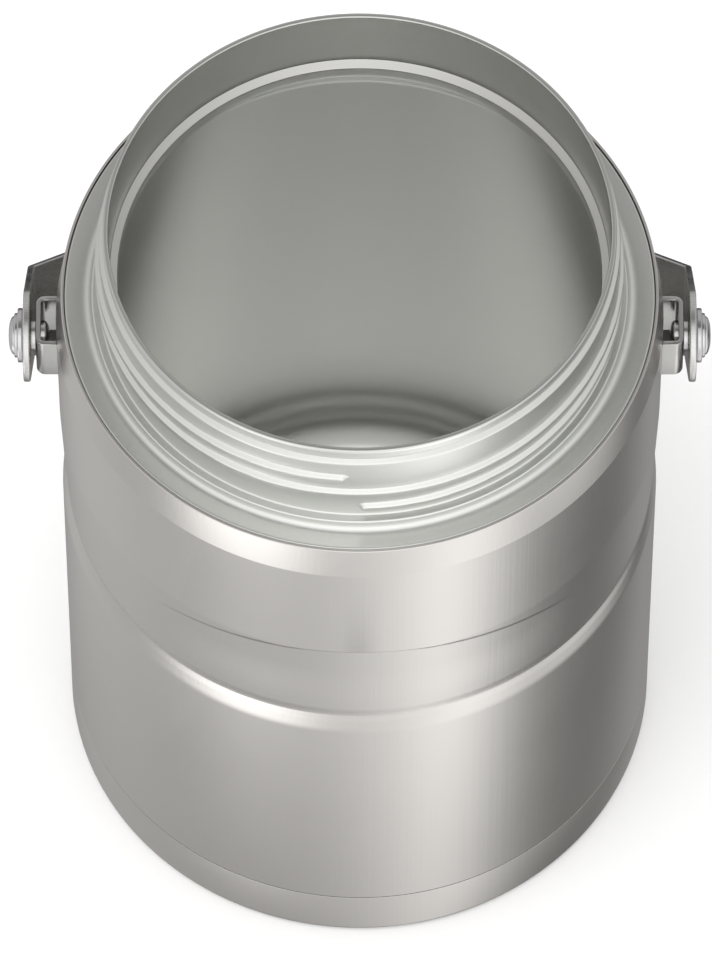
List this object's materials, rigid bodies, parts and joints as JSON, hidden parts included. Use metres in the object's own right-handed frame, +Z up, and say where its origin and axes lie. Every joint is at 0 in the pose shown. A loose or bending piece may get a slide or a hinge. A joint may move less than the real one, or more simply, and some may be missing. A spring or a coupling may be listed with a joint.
{
  "type": "insulated food jar",
  "caption": "Wide-mouth double-walled steel food jar, open at the top, with an external neck thread and a flat-strip carry handle folding on riveted side brackets.",
  "frame": {"origin": "centre of the foot ring, on the surface that the jar stands on", "axes": "+Z up the jar's axis to the mouth; the front is -Y, the handle's pivot axis is parallel to X, and the handle rests against the back, +Y"},
  "size_m": [0.1402, 0.1367, 0.18],
  "materials": {
    "satin_casing": "fine bead-blasted satin, warm grey",
    "satin_neck": "satin, slightly cooler than the casing, turned",
    "vessel_steel": "electropolished satin",
    "foil": "bright foil",
    "plain_steel": "plain sheet",
    "seal_bead": "fused sealing bead",
    "getter": "sintered, dull",
    "bracket_steel": "smooth sheet",
    "handle_steel": "satin strip, polished edges",
    "bright_fittings": "polished"
  },
  "bodies": {
    "jar": {"outer_shell": "satin_casing", "shoulder_neck": "satin_neck", "inner_wall": "vessel_steel", "inner_bottom": "vessel_steel", "radiation_foil": "foil", "foil_disc": "foil", "closure_plate": "plain_steel", "evacuation_plug": "seal_bead", "getter_tablet": "getter", "getter_clip": "plain_steel", "base_cup": "satin_casing", "handle_bracket_right": "bracket_steel", "handle_bracket_left": "bracket_steel", "pivot_rivet_right": "bright_fittings", "spacer_bush_right": "bright_fittings", "pivot_washer_right": "bright_fittings", "pivot_rivet_left": "bright_fittings", "spacer_bush_left": "bright_fittings", "pivot_washer_left": "bright_fittings"},
    "handle": {"carry_handle": "handle_steel"}
  },
  "joints": [
    {"name": "handle_swing", "type": "hinge", "parent": "jar", "child": "handle", "pos_m": [0, 0, 0.1396], "axis": [1, 0, 0], "range_deg": [0, 278]}
  ]
}
